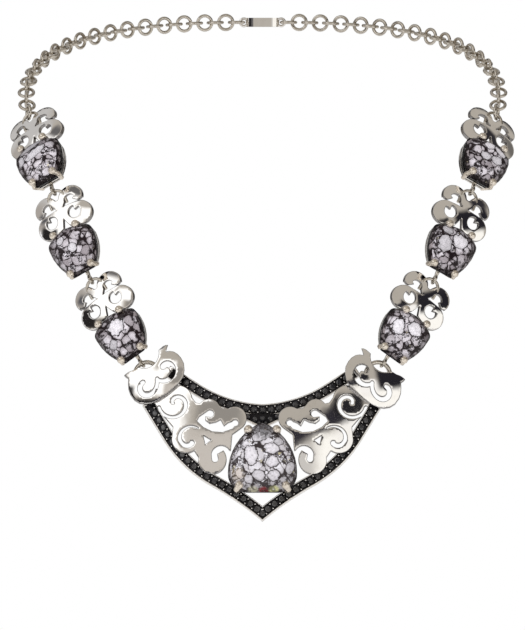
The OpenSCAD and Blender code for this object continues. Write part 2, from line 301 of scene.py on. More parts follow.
class Shape:
    def __init__(self):
        self.verts, self.faces, self.slots = [], [], []

    def add(self, verts, faces, slot=0):
        base = len(self.verts)
        self.verts += [tuple(v) for v in np.asarray(verts, float).tolist()]
        self.faces += [tuple(int(i) + base for i in f) for f in faces]
        self.slots += [slot] * len(faces)


# Quads between two rings of points, the second straight after the first or where it is said to start
def ringQuads(count, low=0, high=None):
    high = low + count if high is None else high
    return [(low + i, low + (i + 1) % count, high + (i + 1) % count, high + i) for i in range(count)]


def inwardNormals(loop, loops):
    along = np.roll(loop, -1, 0) - np.roll(loop, 1, 0)
    along /= np.maximum(np.linalg.norm(along, axis=1, keepdims=True), 1e-9)
    normals = np.stack([-along[:, 1], along[:, 0]], 1)
    inside = insideAll(loop + normals * 0.04, loops)
    return np.where(inside[:, None], normals, -normals)


def metalOnLeft(loop, loops):
    d = loop[1] - loop[0]
    left = np.array([[-d[1], d[0]]]) / max(np.linalg.norm(d), 1e-9)
    return insideAll(loop[:1] + d / 2 + left * 0.03, loops)[0]


cutting = {
    "rimSpacing": 0.35,
    "roundAngles": (22, 45, 67, 90),  # rows of points over a rounded edge
    "rowHeight": 0.87,  # of the even triangles inside, against their width
    "clearance": 0.3,  # from them to the rounded edge
    "sideFrom": 0.75,  # share of the rounded edge with the sides' finish, which paints a shade line along it
    "backEvery": 5,  # the back keeps one inner point of so many
}


# A sawn plate with rounded front edges; shape maps flat points and height to the bent plate
def cutPlate(loops, thick, edge, shape, spacing=0.5, sideSlot=0):
    loops = [evenly(l, cutting["rimSpacing"]) for l in loops]
    sizes = [len(l) for l in loops]
    rim = np.concatenate(loops)
    normals = np.concatenate([inwardNormals(l, loops) for l in loops])
    rings = [rim]
    for angle in cutting["roundAngles"]:
        off = edge * (1 - cosOf(angle))
        row = rim + normals * off
        rings.append(row[(edgeDistance(row, loops) > off * 0.9) & insideAll(row, loops)])
    low, high = rim.min(0), rim.max(0)
    xs = np.arange(low[0], high[0], spacing)
    ys = np.arange(low[1], high[1], spacing * cutting["rowHeight"])
    grid = np.array([(x + (spacing / 2 if j % 2 else 0), y) for j, y in enumerate(ys) for x in xs])
    grid = grid[insideAll(grid, loops)]
    grid = grid[edgeDistance(grid, loops) > edge + spacing * cutting["clearance"]]
    points, faces = triangulate(np.concatenate(rings + [grid]), sizes)
    faces = faces[insideAll(points[faces].mean(1), loops)]
    d = edgeDistance(points, loops)
    d[d < 1e-4] = 0
    share = np.clip(1 - d / edge, 0, 1)
    surface = shape(points[:, 0], points[:, 1], edge * (np.sqrt(1 - share ** 2) - 1))
    # the rounded edge band, the sides and the back take the side finish, which paints shade along the edges
    atEdge = d[faces].mean(1) < edge * cutting["sideFrom"]
    made = Shape()
    made.add(surface, faces[~atEdge])
    made.add(surface, faces[atEdge], sideSlot)
    points, faces = triangulate(np.concatenate([rim, grid[::cutting["backEvery"]]]), sizes)
    faces = faces[insideAll(points[faces].mean(1), loops)]
    made.add(shape(points[:, 0], points[:, 1], np.full(len(points), -thick)), faces[:, ::-1], sideSlot)
    for l in loops:
        front, back = [shape(l[:, 0], l[:, 1], np.full(len(l), -depth)) for depth in (edge, thick)]
        quads = ringQuads(len(l))
        if metalOnLeft(l, loops):
            quads = [q[::-1] for q in quads]
        made.add(np.concatenate([front, back]), quads, sideSlot)
    return made


# A wire or rod along points; radii may change along it
def tube(path, radii, sides=14, closed=False):
    path = np.asarray(path, float)
    n = len(path)
    radii = np.broadcast_to(np.asarray(radii, float), (n,))
    tangents = np.roll(path, -1, 0) - np.roll(path, 1, 0)
    if not closed:
        tangents[0], tangents[-1] = path[1] - path[0], path[-1] - path[-2]
    tangents /= np.maximum(np.linalg.norm(tangents, axis=1, keepdims=True), 1e-9)
    seed = np.array([0.0, 0, 1]) if abs(tangents[0][2]) < 0.8 else np.array([1.0, 0, 0])
    side = unit(np.cross(tangents[0], seed))
    verts, faces = [], []
    for i in range(n):
        side = unit(side - tangents[i] * np.dot(side, tangents[i]))
        other = np.cross(tangents[i], side)
        for j in range(sides):
            a = 2 * math.pi * j / sides
            verts.append(path[i] + radii[i] * (math.cos(a) * side + math.sin(a) * other))
    for i in range(n if closed else n - 1):
        faces += ringQuads(sides, i * sides, (i + 1) % n * sides)
    if not closed:
        faces.append(tuple(reversed(range(sides))))
        faces.append(tuple(range((n - 1) * sides, n * sides)))
    return verts, faces


def newObject(name, data):
    obj = bpy.data.objects.new(name, data)
    bpy.context.scene.collection.objects.link(obj)
    return obj


def makePiece(name, made, place, materials, slotName, nodes, sharpAngle=38, flatShade=False):
    mesh = bpy.data.meshes.new(name)
    mesh.from_pydata((placed(made.verts, place) * mm).tolist(), [], made.faces)
    for m in materials:
        mesh.materials.append(m)
    mesh.polygons.foreach_set("material_index", made.slots)
    mesh.polygons.foreach_set("use_smooth", [not flatShade] * len(mesh.polygons))
    bm = bmesh.new()
    bm.from_mesh(mesh)
    bmesh.ops.remove_doubles(bm, verts=bm.verts, dist=2e-6)
    bmesh.ops.dissolve_degenerate(bm, edges=bm.edges, dist=1e-7)
    bmesh.ops.recalc_face_normals(bm, faces=bm.faces)
    for e in bm.edges:
        e.smooth = len(e.link_faces) == 2 and math.degrees(e.calc_face_angle(0)) < sharpAngle
    bm.to_mesh(mesh)
    bm.free()
    mesh.update()
    piece = newObject(name, mesh)
    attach(piece, "root")
    if nodes:
        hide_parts(*nodes)
    return piece


# Finishes

def feed(tree, socket, value):  # links another node's output, or sets a number, vector or colour
    if isinstance(value, bpy.types.NodeSocket):
        tree.links.new(value, socket)
    else:
        socket.default_value = (*value, 1) if socket.type == "RGBA" else value


def setInputs(tree, node, values):
    for key, value in values.items():
        feed(tree, node.inputs[key], value)
    return node


def addNode(tree, kind, values=None, **settings):
    node = tree.nodes.new(kind)
    for key, value in settings.items():
        setattr(node, key, value)
    return setInputs(tree, node, values or {})


def newGroup(name, inputs, outputs):
    group = bpy.data.node_groups.new(name, "ShaderNodeTree")
    for label, value in inputs.items():
        isColour = isinstance(value, tuple)
        kind = "NodeSocketColor" if isColour else "NodeSocketFloat"
        socket = group.interface.new_socket(name=label, in_out="INPUT", socket_type=kind)
        socket.default_value = (*value, 1) if isColour else value
    for label in outputs:
        kind = "NodeSocketColor" if label == "Color" else "NodeSocketFloat"
        group.interface.new_socket(name=label, in_out="OUTPUT", socket_type=kind)
    return group, group.nodes.new("NodeGroupInput").outputs, group.nodes.new("NodeGroupOutput")


def mathNode(tree, operation, *values):
    return addNode(tree, "ShaderNodeMath", dict(enumerate(values)), operation=operation).outputs[0]


def times(tree, a, b):
    return mathNode(tree, "MULTIPLY", a, b)


def vectorNode(tree, operation, values):
    return addNode(tree, "ShaderNodeVectorMath", values, operation=operation).outputs


def mixColour(tree, factor, a, b):
    return addNode(tree, "ShaderNodeMix", {0: factor, 6: a, 7: b}, data_type="RGBA").outputs[2]


def rangeNode(tree, value, low, high, toLow=0.0, toHigh=1.0):
    values = {0: value, 1: low, 2: high, 3: toLow, 4: toHigh}
    return addNode(tree, "ShaderNodeMapRange", values, interpolation_type="SMOOTHSTEP").outputs[0]


def noiseNode(tree, vector, scale, detail=2.0, roughness=0.5):
    values = {"Vector": vector, "Scale": scale, "Detail": detail, "Roughness": roughness}
    return addNode(tree, "ShaderNodeTexNoise", values).outputs


def bumpNode(tree, height, distance, strength):
    values = {"Height": height, "Distance": distance, "Strength": strength}
    return addNode(tree, "ShaderNodeBump", values).outputs[0]


def newMaterial(name):
    material = bpy.data.materials.new(name)
    material.use_nodes = True
    return material, material.node_tree, material.node_tree.nodes["Principled BSDF"]


def ownPlace(tree, kind="Object"):
    return addNode(tree, "ShaderNodeTexCoord").outputs[kind]


def placeGroup(tree, group, values):
    node = tree.nodes.new("ShaderNodeGroup")
    node.node_tree = group
    return setInputs(tree, node, values).outputs


polish = {
    "waves": (160.0, 2.0, 0.5),  # scale, detail and roughness of each noise
    "patches": (420.0, 4.0, 0.6),
    "scratches": (1.0, 3.0, 0.7),
    "scratchScale": (9000.0, 1500.0, 4200.0),
    "scratchTurn": (0.4, 0.3, 0.9),
    "scratchHaze": 0.03,
    "scratchHeight": 0.012,
    "stains": (0.48, 0.75),  # of the patches, from clean to stained
}


# Soft waves left by the polishing wheel, fine scratches and a breath of tarnish
def polishMarksGroup():
    group, given, result = newGroup(
        "polishMarks",
        {"Metal": (0.9, 0.88, 0.85), "Tarnish": (0.5, 0.47, 0.42), "Tarnish Amount": 0.25,
         "Gloss": 0.08, "Haze": 0.12},
        ("Color", "Roughness", "Height"))
    place = ownPlace(group)
    stretched = addNode(group, "ShaderNodeMapping", {
        "Vector": place, "Scale": polish["scratchScale"], "Rotation": polish["scratchTurn"]}).outputs[0]
    waves = noiseNode(group, place, *polish["waves"])[0]
    patches = noiseNode(group, place, *polish["patches"])[0]
    scratches = noiseNode(group, stretched, *polish["scratches"])[0]
    stained = rangeNode(group, patches, *polish["stains"])
    rough = mathNode(group, "ADD", given["Gloss"], times(group, stained, given["Haze"]))
    amount = times(group, stained, given["Tarnish Amount"])
    setInputs(group, result, {
        "Color": mixColour(group, amount, given["Metal"], given["Tarnish"]),
        "Roughness": mathNode(group, "ADD", rough, times(group, scratches, polish["scratchHaze"])),
        "Height": mathNode(group, "ADD", waves, times(group, scratches, polish["scratchHeight"])),
    })
    return group


polishMarks = polishMarksGroup()


def silverFinish(name, metal, tarnish, amount, gloss, haze, wave):
    material, tree, shader = newMaterial(name)
    marks = placeGroup(tree, polishMarks, {
        "Metal": metal, "Tarnish": tarnish, "Tarnish Amount": amount, "Gloss": gloss, "Haze": haze})
    setInputs(tree, shader, {
        "Metallic": 1.0, "Base Color": marks["Color"], "Roughness": marks["Roughness"],
        "Normal": bumpNode(tree, marks["Height"], wave, 1.0)})
    return material


# metal, tarnish, how much of it, gloss, haze, and the depth of the waves in metres
silvers = {
    "plateSilver": ((0.93, 0.915, 0.9), (0.66, 0.6, 0.53), 0.15, 0.035, 0.05, 0.00003),
    "wireSilver": ((0.62, 0.58, 0.52), (0.4, 0.35, 0.3), 0.4, 0.1, 0.12, 0.00001),
    "prongSilver": ((0.86, 0.79, 0.7), (0.45, 0.38, 0.31), 0.45, 0.28, 0.12, 0.00001),
    # painted shade: a darker silver for the sides, backs and rounded edge bands of the plates, the centre
    # setting's rails and the upper prong rods
    "shadedSideSilver": ((0.34, 0.33, 0.33), (0.05, 0.047, 0.047), 0.8, 0.14, 0.2, 0.00001),
    "railSilver": ((0.8, 0.78, 0.75), (0.2, 0.19, 0.18), 0.5, 0.14, 0.15, 0.00001),
    # painted shade: near-black silver for the setting walls and their inner sides, and for the pave tray
    # under the stones
    "shadeBlackSilver": ((0.03, 0.029, 0.032), (0.012, 0.012, 0.014), 0.7, 0.3, 0.2, 0.00001),
}
plateSilver, wireSilver, prongSilver, shadedSideSilver, railSilver, shadeBlack = [
    silverFinish(name, *values) for name, values in silvers.items()]


# Noises are scale, detail and roughness; ranges are from, to, and the two values they turn into
mosaic = {
    "ripples": [((0.45, 2.0, 0.6), 1.2), ((2.4, 3.0, 0.6), 0.2)],  # each with how far it bends the outlines
    "randomness": 0.85,
    "finer": 4.6,  # small chips against large ones
    "middle": (0.5, 0.15, 0.55),  # of a stone, as a share of its box
    "brokenNoise": (0.42, 3.0, 0.6), "wander": 0.3, "busyShare": 0.3, "brokenRange": (0.6, 0.68),
    "swellNoise": (0.5, 2.0, 0.6), "swellRange": (0.4, 0.72, 0.35, 2.2), "outwards": (0.2, 0.55, 0.8, 1.9),
    "bigEdge": 0.25, "bigGaps": (0.74, 0.64), "smallEdge": (0.01, 0.55),
    "cloudNoise": (1.1, 4.0, 0.7), "cloudRange": (0.42, 0.75), "cloudShare": 0.5,
    # bigRims darkens each large chip towards its rim: painted shade
    "bigTones": (0.5, 1.0, 0.0, 0.85), "bigRims": (0.28, 0.7, 0.0, 0.75),
    "smallTones": (0.3, 0.8, 0.0, 0.97), "warmth": 0.6, "shadeRange": (0.3, 0.6),
}


# Pale chips in a fine dark crackle, as seen through the crown of a crystal; sizes in millimetres
def chipMosaicGroup():
    group, given, result = newGroup(
        "chipMosaic",
        {"Chip Size": 3.0, "Crackle": 0.13, "Busy": 0.4, "Shade": 0.5, "Warm Share": 0.05,
         "Pale": (0.9, 0.88, 0.94), "Dull": (0.5, 0.48, 0.52), "Dark": (0.035, 0.028, 0.03),
         "Warm": (0.72, 0.66, 0.42)},
        ("Color", "Height"))
    inMillimetres = vectorNode(group, "SCALE", {0: ownPlace(group), "Scale": 1 / mm})[0]

    def noise(key):
        return noiseNode(group, inMillimetres, *mosaic[key])[0]

    def spread(value, key):
        return rangeNode(group, value, *mosaic[key])

    moved = inMillimetres
    for numbers, push in mosaic["ripples"]:
        ripple = noiseNode(group, inMillimetres, *numbers)["Color"]
        centred = vectorNode(group, "SUBTRACT", {0: ripple, 1: (0.5, 0.5, 0.5)})[0]
        scaled = vectorNode(group, "SCALE", {0: centred, "Scale": push})[0]
        moved = vectorNode(group, "ADD", {0: moved, 1: scaled})[0]
    frequency = mathNode(group, "DIVIDE", 1.0, given["Chip Size"])
    tones, edges, depths = [], [], []
    for factor in (1.0, mosaic["finer"]):
        scale = times(group, frequency, factor)
        values = {"Vector": moved, "Scale": scale, "Randomness": mosaic["randomness"]}
        cell = addNode(group, "ShaderNodeTexVoronoi", values, feature="F1").outputs
        edge = addNode(group, "ShaderNodeTexVoronoi", values, feature="DISTANCE_TO_EDGE").outputs
        tones.append(addNode(group, "ShaderNodeSeparateColor", {0: cell["Color"]}).outputs)
        depths.append(cell["Distance"])
        edges.append(mathNode(group, "DIVIDE", edge["Distance"], scale))
    # painted shade: everything is darker and more broken towards the edge of a stone
    brokenNoise = noise("brokenNoise")
    inStone = ownPlace(group, "Generated")
    fromMiddle = vectorNode(group, "DISTANCE", {0: inStone, 1: mosaic["middle"]})["Value"]
    wander = times(group, mathNode(group, "SUBTRACT", brokenNoise, 0.5), mosaic["wander"])
    reach = mathNode(group, "ADD", fromMiddle, wander)
    # the crackle swells and thins out, thickens towards the edge as part of the painted shade, and opens
    # into dark gaps between the round chips
    swell = times(group, spread(noise("swellNoise"), "swellRange"), spread(reach, "outwards"))
    width = times(group, given["Crackle"], swell)
    bigChip = rangeNode(group, edges[0], times(group, width, mosaic["bigEdge"]), width)
    bigChip = times(group, bigChip, spread(depths[0], "bigGaps"))
    smallFrom, smallTo = mosaic["smallEdge"]
    smallChip = rangeNode(group, edges[1], smallFrom, times(group, width, smallTo))
    # broken places hold small chips and grains
    broken = mathNode(group, "ADD", brokenNoise, times(group, given["Busy"], mosaic["busyShare"]))
    broken = spread(broken, "brokenRange")
    clouded = times(group, spread(noise("cloudNoise"), "cloudRange"), mosaic["cloudShare"])
    # large chips darken towards their rims like round pebbles, which is painted shade; their tones and
    # clouds differ at random
    bigTone = given["Pale"]
    for share in (spread(tones[0][0], "bigTones"), spread(depths[0], "bigRims"), clouded):
        bigTone = mixColour(group, share, bigTone, given["Dull"])
    smallTone = mixColour(group, spread(tones[1][0], "smallTones"), given["Pale"], given["Dark"])
    warmFrom = mathNode(group, "SUBTRACT", 1.0, given["Warm Share"])
    warmCell = times(group, mathNode(group, "GREATER_THAN", tones[1][2], warmFrom), mosaic["warmth"])
    smallTone = mixColour(group, warmCell, smallTone, given["Warm"])
    smallPart = mixColour(group, smallChip, given["Dark"], smallTone)
    bigPart = mixColour(group, bigChip, given["Dark"], bigTone)
    # painted shade: the colour goes towards Dark near the edge of the stone
    shade = times(group, spread(reach, "shadeRange"), given["Shade"])
    colour = mixColour(group, shade, mixColour(group, broken, bigPart, smallPart), given["Dark"])
    setInputs(group, result, {"Color": colour, "Height": bigChip})
    return group


chipMosaic = chipMosaicGroup()

crystal = {
    "rippleNoise": (900.0, 3.0, 0.5), "rippleShare": 0.9,  # bends the outlines of the large ovals
    "cloudNoise": (1500.0, 4.0, 0.7), "cloudRange": (0.42, 0.72, 0.0, 0.8),
    "ovalHeight": 5.3, "ovalDepth": 4.0, "ovalTint": (0.8, 0.78, 0.85), "dull": 0.55,
    # ovalFade darkens each oval towards its edge: painted shade
    "ovalCrack": (1.16, 1.06), "ovalFade": (0.5, 1.0, 0.0, 0.6), "ovalEdge": (1.0, 0.93),
    "gleamCore": 0.45, "gleamOnChips": (0.0, 1.0, 0.35, 1.0),
    "bumpDistance": 0.00005, "bumpStrength": 0.5,
    "gloss": {"Roughness": 0.35, "Specular IOR Level": 0.1, "Coat Roughness": 0.03, "Coat IOR": 1.5},
}


# The largest chips are ovals: a point and turn in the necklace, two half lengths and a colour;
# spots are painted coloured glints and one dark patch on the centre crystal: a point, reach, strength and
# colour
def crystalFinish(name, values, coat, ovals=(), spots=()):
    material, tree, shader = newMaterial(name)
    chips = placeGroup(tree, chipMosaic, values)
    colour = chips["Color"]
    place = ownPlace(tree)
    if ovals:
        ripple = noiseNode(tree, place, *crystal["rippleNoise"])[0]
        cloud = noiseNode(tree, place, *crystal["cloudNoise"])[0]
        clouded = rangeNode(tree, cloud, *crystal["cloudRange"])
        uneven = times(tree, mathNode(tree, "SUBTRACT", ripple, 0.5), crystal["rippleShare"])
    for point, turn, halfLength, halfWidth, tint in ovals:
        inOval = addNode(tree, "ShaderNodeMapping", {
            "Vector": place, "Location": point, "Rotation": turn,
            "Scale": (halfLength * mm, halfWidth * mm, crystal["ovalDepth"] * mm)}, vector_type="TEXTURE")
        length = vectorNode(tree, "LENGTH", {0: inOval.outputs[0]})["Value"]
        reach = mathNode(tree, "ADD", length, uneven)
        colour = mixColour(tree, rangeNode(tree, reach, *crystal["ovalCrack"]), colour, values["Dark"])
        duller = tuple(crystal["dull"] * n for n in tint)
        inside = mixColour(tree, clouded, tint, duller)
        # painted shade: the oval grows duller towards its edge
        inside = mixColour(tree, rangeNode(tree, reach, *crystal["ovalFade"]), inside, duller)
        colour = mixColour(tree, rangeNode(tree, reach, *crystal["ovalEdge"]), colour, inside)
    # painted glints and a dark patch, mixed into the crystal's colour
    for point, reach, share, tint in spots:
        distance = vectorNode(tree, "DISTANCE", {0: place, 1: point})["Value"]
        core = reach * mm * crystal["gleamCore"]
        mask = rangeNode(tree, distance, reach * mm, core, 0.0, share)
        mask = times(tree, mask, rangeNode(tree, chips["Height"], *crystal["gleamOnChips"]))
        colour = mixColour(tree, mask, colour, tint)
    normal = bumpNode(tree, chips["Height"], crystal["bumpDistance"], crystal["bumpStrength"])
    setInputs(tree, shader, crystal["gloss"])
    setInputs(tree, shader, {"Base Color": colour, "Coat Weight": coat, "Normal": normal})
    return material


def inMetres(point, place):
    return tuple(float(n) * mm for n in placed(point, place))


# x, y, half length, half width, slant and tone of each large chip, on its own stone
stoneOvals = {
    "Right1": [(-0.8, -14.6, 1.7, 1.3, 40, 1.0), (2.5, -14.9, 2.0, 1.2, -25, 0.9),
               (-1.3, -18.6, 1.5, 1.2, 0, 0.8), (2.2, -18.2, 1.7, 1.2, 15, 0.8)],
    "Right2": [(0.9, -16.2, 2.2, 1.9, 20, 0.95), (-2.7, -18.6, 1.7, 2.4, 10, 0.75),
               (-3.4, -14.6, 1.5, 1.2, 0, 0.6)],
    "Right3": [(1.2, -16.2, 2.2, 1.8, -10, 1.1), (-2.9, -18.0, 1.6, 2.1, 20, 1.1)],
    "Left1": [(-0.6, -14.4, 3.6, 0.9, 12, 0.5), (0.2, -17.0, 3.4, 1.1, 14, 0.8),
              (-4.2, -17.2, 1.1, 1.4, 0, 0.7)],
    "Left2": [(0.4, -18.6, 1.3, 1.2, 0, 0.9), (-2.0, -15.3, 1.2, 1.0, 30, 0.8)],
    "Left3": [(0.5, -16.6, 2.3, 2.0, 15, 1.05), (-2.6, -20.2, 1.4, 1.1, 20, 0.7)],
    "Centre": [(-3.0, 16.4, 1.7, 2.6, 0, 0.95), (2.4, 18.2, 1.9, 1.5, -10, 0.95),
               (2.6, 14.6, 1.6, 1.6, 0, 0.93), (-0.9, 11.0, 1.8, 1.35, -15, 0.8),
               (2.9, 10.9, 1.7, 1.4, 20, 0.88), (-1.0, 21.3, 1.9, 1.3, 10, 0.8),
               (7.2, 13.2, 1.1, 1.8, -15, 0.75), (4.3, 20.2, 1.2, 1.1, 0, 0.72),
               (-3.7, 10.0, 1.1, 1.3, 30, 0.75)],
}
# painted coloured glints on the centre crystal and one dark patch at its top: place on the plaque, reach,
# strength and colour
glintsAndPatch = [
    ((0.3, 7.5, 3.5), 1.7, 0.95, (0.19, 0.013, 0.018)),
    ((-2.5, 7.6, 3.6), 1.7, 0.6, (0.72, 0.7, 0.52)),
    ((3.0, 7.7, 3.6), 1.8, 0.75, (0.74, 0.75, 0.36)),
    ((-6.1, 11.4, 4.2), 2.6, 0.3, (0.72, 0.58, 0.4)),
    ((0.2, 22.9, 4.2), 3.4, 0.8, (0.09, 0.088, 0.095)),
]
chipValues = {
    "faces": {"Chip Size": 2.3, "Crackle": 0.26, "Busy": 0.24, "Shade": 0.6, "Warm Share": 0.02,
              "Pale": (0.72, 0.69, 0.76), "Dull": (0.27, 0.24, 0.265), "Dark": (0.012, 0.007, 0.009)},
    # rim and centreRim are darker copies of the chips for the rims of the stones: painted shade
    "rim": {"Chip Size": 2.0, "Crackle": 0.3, "Busy": 0.3, "Shade": 0.45,
            "Pale": (0.36, 0.32, 0.34), "Dull": (0.08, 0.068, 0.074), "Dark": (0.008, 0.005, 0.006)},
    "centreFaces": {"Chip Size": 3.2, "Crackle": 0.2, "Busy": 0.42, "Shade": 0.4, "Warm Share": 0.08,
                    "Pale": (0.76, 0.75, 0.82), "Dark": (0.035, 0.028, 0.03)},
    # painted shade: the centre stone's rim, darker than its faces
    "centreRim": {"Chip Size": 2.6, "Crackle": 0.3, "Busy": 0.4, "Shade": 0.5,
                  "Pale": (0.6, 0.58, 0.62), "Dull": (0.2, 0.19, 0.2)},
}


def stoneFaces(label, place, values=chipValues["faces"], coat=0.2, spots=()):
    ovals = []
    for x, y, halfLength, halfWidth, slant, tone in stoneOvals[label]:
        turned = place @ turnAbout(2, slant)
        turn = Matrix(turned[:3, :3].tolist()).to_euler()
        tint = tuple(n * tone for n in crystal["ovalTint"])
        ovals.append((inMetres((x, y, crystal["ovalHeight"]), place), turn, halfLength, halfWidth, tint))
    return crystalFinish("crystalFaces" + label, values, coat, ovals, spots)


glintAndPatchSpots = [(inMetres(point, plaqueFrame), *rest) for point, *rest in glintsAndPatch]
# painted shade: the rim finishes are darker crystal for the girdles, lowest crown facets and backs of the
# stones
shadedCrystalRim = crystalFinish("shadedCrystalRim", chipValues["rim"], 0.08)
crystalCentreFaces = stoneFaces("Centre", plaqueFrame, chipValues["centreFaces"], 0.25, glintAndPatchSpots)
shadedCrystalCentreRim = crystalFinish("shadedCrystalCentreRim", chipValues["centreRim"], 0.1, spots=glintAndPatchSpots)

onyx = {
    "cloudNoise": (900.0, 2.0, 0.5),
    "tones": ((0.006, 0.006, 0.008), (0.03, 0.03, 0.034)),
    "roughness": (0.3, 0.7, 0.04, 0.14),
    "refraction": 1.85,
}


def blackStoneFinish():
    material, tree, shader = newMaterial("blackStone")
    clouds = noiseNode(tree, ownPlace(tree), *onyx["cloudNoise"])[0]
    setInputs(tree, shader, {
        "Base Color": mixColour(tree, clouds, *onyx["tones"]),
        "Roughness": rangeNode(tree, clouds, *onyx["roughness"]),
        "IOR": onyx["refraction"]})
    return material


blackStone = blackStoneFinish()
print("finishes made")


# Stations

scrollPlate = {
    "half": [(0, -2.9), (3.75, -3.6, 3.35, 165, -28), (5.7, -4.35, 1.05, -45, -150), (4.15, -4.35),
             (3.35, -4.15, 1.45, 12, 185), (1.0, -5.45), (4.65, -8.95, 3.4, 95, -115), (1.0, -11.2),
             (0, -8.7)],
    "eye": [(3.45, -8.1, 1.7, 80, 390), (3.7, -7.65)],
    "top": 1.45, "middle": -9.5, "dome": 28.0, "thick": 1.1, "edge": 0.16,
}


def domedPlate(x, y, z):
    r = scrollPlate["dome"]
    w = scrollPlate["top"] - r + np.sqrt((r + z) ** 2 - x ** 2 - (y - scrollPlate["middle"]) ** 2)
    return np.stack([x, y, w], 1)


def makeScrollPlate():
    eye = outline(scrollPlate["eye"])
    loops = [bothSides(outline(scrollPlate["half"])), closedLoop(eye), closedLoop(flipped(eye))]
    return cutPlate(loops, scrollPlate["thick"], scrollPlate["edge"], domedPlate, sideSlot=1)


stationWall = {
    "half": [(0, -22.2, 10.2, 90, 66), (4.9, -15.1, 1.7, 60, 5), (-7.5, -16.1, 14.1, 0, -38),
             (2.85, -24.8, 0.65, -35, -88)],
    "rows": (-1.2, -0.4, 0.5, 1.3, 2.2, 2.7),  # heights of the rails' edges; windows open between them
    "window": (-27, -15.2),
    "thick": 0.55,
    "middle": -17.5,
    "taper": (0.08, 0.2),  # how much narrower and shorter the foot is
}
wallForm = {
    "openRows": (1, 3),  # counted up from the foot
    "spacing": 0.45,
    "softEdge": 0.07,
    "softSteps": 2,
}


# Upright wall along an outline with rows of windows in its sides
def wallShape(wall):
    loop = evenly(bothSides(outline(wall["half"])), wallForm["spacing"])
    rows, middle, window = wall["rows"], wall["middle"], wall["window"]
    n = len(loop)
    verts = []
    for w in rows:
        fall = (rows[-1] - w) / (rows[-1] - rows[0])
        across, along = [1 - taper * fall for taper in wall["taper"]]
        verts += [(x * across, middle + (y - middle) * along, w) for x, y in loop]
    faces, slots = [], []
    for r in range(len(rows) - 1):
        for i, quad in enumerate(ringQuads(n, r * n)):
            y = (loop[i][1] + loop[(i + 1) % n][1]) / 2
            atWindow = window[0] < y < window[1]
            if atWindow and r in wallForm["openRows"]:
                continue
            faces.append(quad)
            # the rails between the windows keep the first finish; the rest of the wall takes the second,
            # darker one, which paints shade
            slots.append(0 if atWindow and r != len(rows) - 2 else 1)
    made = Shape()
    made.add(verts, faces)
    made.slots = slots
    return made


# Modifiers give a wall its body and soft edges
def addWallBody(piece, thick):
    body = piece.modifiers.new("wallBody", "SOLIDIFY")
    body.thickness = thick * mm
    body.offset = -1
    body.use_even_offset = True
    # the inner side takes the next, darker finish: painted shade
    body.material_offset = 1
    soft = piece.modifiers.new("softEdges", "BEVEL")
    soft.width = wallForm["softEdge"] * mm
    soft.segments = wallForm["softSteps"]
    soft.limit_method = "ANGLE"


stationProngs = {
    "places": [(3.5, -12.2, 3.4, -12.75, 2), (3.75, -24.75, 3.15, -24.5, 1)],  # foot, ball, material slot
    "low": -1.2, "high": 4.75, "rod": 0.66, "ball": 1.05,
    "middle": -17.5, "taper": (0.22, 0.2),
}
prongForm = {
    "straightTo": 2.1,  # under the ball's middle, where the rod starts to lean in
    "leanAt": 1.25,
    "sunk": 0.6,  # share of the ball's radius that the rod ends under its middle
    "flare": 1.05,
    "ballRings": 9, "ballSegments": 18, "ballSquash": 0.92,
}


def meltedBall(centre, radius):
    x, y, z = centre
    rings, segments, squash = [prongForm[key] for key in ("ballRings", "ballSegments", "ballSquash")]
    verts = [(x, y, z - radius * squash)]
    for i in range(1, rings):
        up = -radius * squash * cosOf(180 * i / rings)
        verts += [(px, py, z + up) for px, py in arcPoints(
            x, y, radius * sinOf(180 * i / rings), 0, 360 - 360 / segments, 360 / segments)]
    verts.append((x, y, z + radius * squash))
    faces = [(0, 1 + (j + 1) % segments, 1 + j) for j in range(segments)]
    for i in range(rings - 2):
        faces += ringQuads(segments, 1 + i * segments)
    last = 1 + (rings - 2) * segments
    faces += [(last + j, last + (j + 1) % segments, len(verts) - 1) for j in range(segments)]
    return verts, faces


# A prong: a rod that rises beside the stone, leans in and ends in a melted ball
def addProngs(made, prongs):
    low, high, rod, ball, middle = [prongs[key] for key in ("low", "high", "rod", "ball", "middle")]
    across, along = [1 - taper for taper in prongs["taper"]]
    for footX, footY, topX, topY, rodSlot in prongs["places"]:
        for s in (-1, 1):
            path = [(s * footX * across, middle + (footY - middle) * along, low),
                    (s * footX, footY, high - prongForm["straightTo"]),
                    (s * (footX + topX) / 2, (footY + topY) / 2, high - prongForm["leanAt"]),
                    (s * topX, topY, high - ball * prongForm["sunk"])]
            made.add(*tube(path, [rod, rod, rod, rod * prongForm["flare"]]), rodSlot)
            made.add(*meltedBall((s * topX, topY, high), ball), 1)


# A bent wire with two legs that the next link hangs in
def addArch(made, radius, wire, legs, place):
    path = [(radius, -radius - legs, 0)]
    path += [(x, y, 0) for x, y in arcPoints(0, -radius, radius, 0, 180, 7.5)]
    path += [(-radius, -radius - legs, 0)]
    made.add(*tube(placed(path, place), wire))


stationLinks = {
    "arch": (2.3, 0.42, 2.2),  # radius, wire and legs
    "eyeInner": 0.72, "eyeWire": 0.36,
    "linkGap": 0.12,
    "neck": [(0, 0, 0.4), (0.5, 0.1, 0.52), (2.4, 0.4, 0.7)],  # rise, height and radius
}


def makeStationWires():
    made = Shape()
    addProngs(made, stationProngs)
    addArch(made, *stationLinks["arch"], np.eye(4))
    inner, wire, archWire = stationLinks["eyeInner"], stationLinks["eyeWire"], stationLinks["arch"][1]
    drop = -necklace["stationPitch"] + inner - archWire - stationLinks["linkGap"]
    ring = [(0, y, z) for y, z in arcPoints(drop, 0, inner + wire, 0, 350, 10)]
    made.add(*tube(ring, wire, closed=True))
    foot = drop + inner + wire
    neck = stationLinks["neck"]
    made.add(*tube([(0, foot + up, height) for up, height, radius in neck], [row[2] for row in neck]))
    return made


